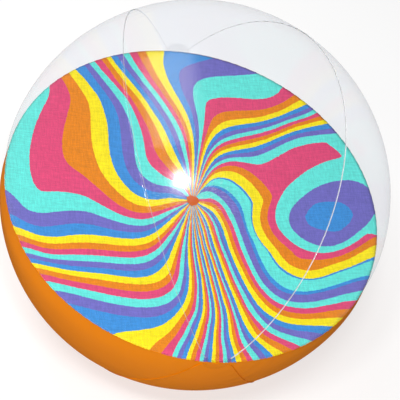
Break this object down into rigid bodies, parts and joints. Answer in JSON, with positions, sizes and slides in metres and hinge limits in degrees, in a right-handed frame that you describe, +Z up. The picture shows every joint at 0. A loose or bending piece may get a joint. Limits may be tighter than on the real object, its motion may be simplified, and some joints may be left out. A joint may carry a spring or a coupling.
{
  "type": "inflatable beach ball",
  "caption": "Inflated vinyl beach ball, clear above and opaque below, with a printed fabric disc across its middle and a push-in valve low on its back.",
  "frame": {"origin": "middle of the flat patch the ball rests on, straight under the ball's centre", "axes": "+Z up, square to the printed disc and out of the clear half; Y through the two pole patches, front pole at -Y; valve on the +X +Y side"},
  "size_m": [0.5799, 0.5806, 0.5779],
  "materials": {
    "clear_vinyl": "clear glossy soft film",
    "orange_vinyl": "opaque satin soft film",
    "printed_fabric": "plain weave printed with a swirl of six colours",
    "orange_flange": "soft moulded vinyl",
    "valve_vinyl": "soft translucent moulded vinyl"
  },
  "bodies": {
    "ball": {"clear_gore_left": "clear_vinyl", "clear_gore_top": "clear_vinyl", "clear_gore_right": "clear_vinyl", "orange_gore_left": "orange_vinyl", "orange_gore_bottom": "orange_vinyl", "orange_gore_right": "orange_vinyl", "pole_patch_front": "clear_vinyl", "pole_patch_back": "clear_vinyl", "printed_disc": "printed_fabric", "valve_flange": "orange_flange"},
    "stem": {"valve_stem": "valve_vinyl", "plug_strap": "valve_vinyl"},
    "plug": {"valve_plug": "valve_vinyl"},
    "flap": {"check_flap": "valve_vinyl"}
  },
  "joints": [
    {"name": "stem_slide", "type": "slide", "parent": "ball", "child": "stem", "axis": [0.6124, 0.7071, -0.3536], "range_m": [0, 0.012]},
    {"name": "plug_pull", "type": "slide", "parent": "stem", "child": "plug", "axis": [0.6124, 0.7071, -0.3536], "range_m": [0, 0.012], "deforming": ["plug_strap"]},
    {"name": "flap_swing", "type": "hinge", "parent": "stem", "child": "flap", "pos_m": [0.16085, 0.19035, 0.18577], "axis": [0.6124, -0.7071, -0.3536], "range_deg": [0, 50], "stiffness_Nm_per_rad": 0.0005}
  ]
}
